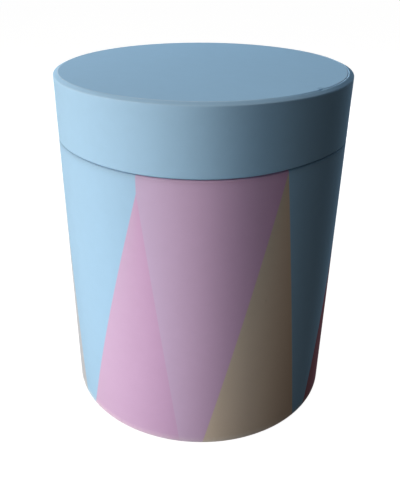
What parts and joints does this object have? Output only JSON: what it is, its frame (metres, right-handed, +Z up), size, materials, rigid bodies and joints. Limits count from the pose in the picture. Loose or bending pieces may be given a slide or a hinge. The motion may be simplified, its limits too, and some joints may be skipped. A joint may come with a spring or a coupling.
{
  "type": "flower box",
  "caption": "Round rigid paperboard box for a bouquet, with an inner neck, a flush lift-off lid and a covering of tall pastel triangles.",
  "frame": {"origin": "centre of the underside, on the surface that the box stands on", "axes": "+Z up along the axis of the tube, -Y towards the side with the pink and mauve triangles, +Y at the lapped ends of the covering sheets"},
  "size_m": [0.165, 0.1651, 0.2024],
  "materials": {
    "blue_paper": "matte",
    "printed_paper": "matte",
    "lining_paper": "matte",
    "greyboard": "matte"
  },
  "bodies": {
    "box": {"body_tube": "greyboard", "base_board": "greyboard", "neck_tube": "greyboard", "body_wrap": "printed_paper", "neck_cover": "lining_paper", "base_inner_paper": "lining_paper", "base_outer_paper": "lining_paper"},
    "lid": {"lid_ring": "greyboard", "lid_disc": "greyboard", "lid_wrap": "blue_paper", "panel_board": "greyboard", "panel_cover": "blue_paper", "lid_inner_band": "lining_paper", "lid_inner_disc": "lining_paper"}
  },
  "joints": [
    {"name": "lid_lift", "type": "slide", "parent": "box", "child": "lid", "axis": [0, 0, 1], "range_m": [0, 0.06]}
  ]
}
